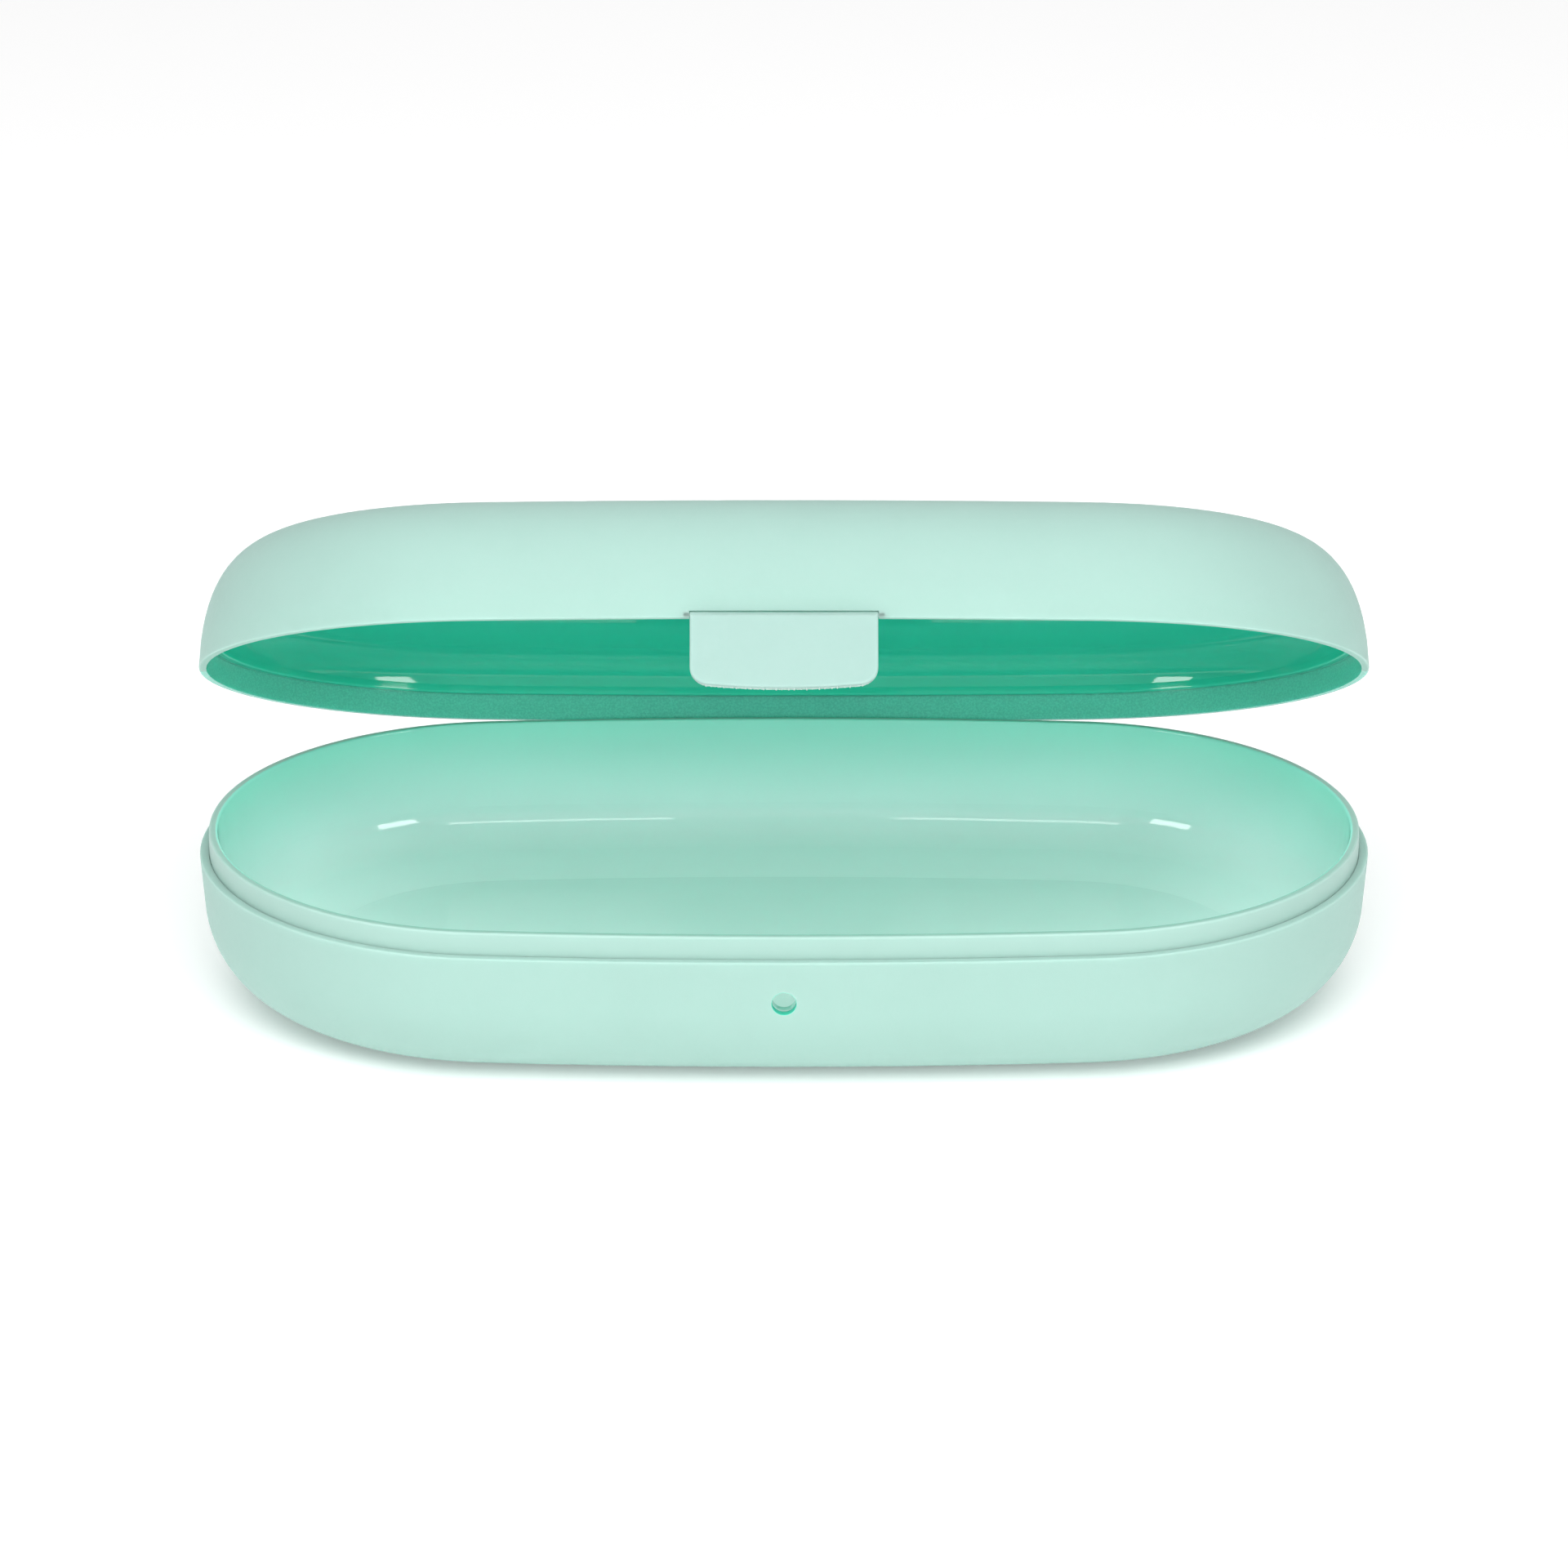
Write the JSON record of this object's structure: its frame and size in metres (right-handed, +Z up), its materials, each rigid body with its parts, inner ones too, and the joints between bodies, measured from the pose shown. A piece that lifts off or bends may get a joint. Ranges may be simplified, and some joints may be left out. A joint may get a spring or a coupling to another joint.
{
  "type": "toothbrush sanitizer",
  "caption": "Oval double-walled toothbrush sanitizer case: deep tray, hinged lid with lamps in its ceiling, front snap tab and catch hole, shown part open.",
  "frame": {"origin": "middle of the base's flat underside", "axes": "+X along the case to its right end, +Y towards the hinge at the back, +Z up; millimetres in the source"},
  "size_m": [0.2, 0.1147, 0.0945],
  "materials": {
    "outer_plastic": "fine matte grain, mint green",
    "inner_plastic": "polished, mint green",
    "button_plastic": "satin, pale mint",
    "pin_steel": "drawn wire",
    "screw_steel": "zinc plated",
    "socket_steel": "pressed sheet",
    "black_plastic": "moulded",
    "board_laminate": "green solder resist",
    "lead_sleeve": "silicone sleeve",
    "cell_foil": "pouch foil",
    "foam_tape": "closed foam",
    "lamp_body": "white ceramic package",
    "clear_lens": "clear"
  },
  "bodies": {
    "base": {"base_shell": "outer_plastic", "base_liner": "inner_plastic", "hinge_pin": "pin_steel"},
    "lid": {"lid_shell": "outer_plastic", "lid_liner": "inner_plastic", "control_board_screws": "screw_steel", "led_board_screws": "screw_steel", "usb_socket": "socket_steel", "power_switch": "black_plastic", "light_sensor": "black_plastic", "control_board": "board_laminate", "led_board_left": "board_laminate", "led_board_right": "board_laminate", "led_lead_left": "lead_sleeve", "led_lead_right": "lead_sleeve", "battery_lead": "lead_sleeve", "battery_cell": "cell_foil", "battery_tape": "foam_tape", "status_led": "lamp_body", "status_lens": "clear_lens", "sensor_window": "clear_lens", "uv_led_1": "lamp_body", "lamp_window_1": "clear_lens", "uv_led_2": "lamp_body", "lamp_window_2": "clear_lens", "uv_led_3": "lamp_body", "lamp_window_3": "clear_lens", "uv_led_4": "lamp_body", "lamp_window_4": "clear_lens"},
    "latch": {"latch_tab": "outer_plastic"},
    "button": {"power_button": "button_plastic"}
  },
  "joints": [
    {"name": "lid_hinge", "type": "hinge", "parent": "base", "child": "lid", "pos_m": [0, 0.0581, 0.0253], "axis": [-1, 0, 0], "range_deg": [-29.9, 75.1]},
    {"name": "latch_flex", "type": "hinge", "parent": "lid", "child": "latch", "pos_m": [0, -0.03799, 0.08119], "axis": [-1, 0, 0], "range_deg": [0, 12], "stiffness_Nm_per_rad": 0.05},
    {"name": "button_press", "type": "slide", "parent": "lid", "child": "button", "axis": [0, -0.4985, -0.8669], "range_m": [0, 0.0004], "stiffness_N_per_m": 800}
  ]
}
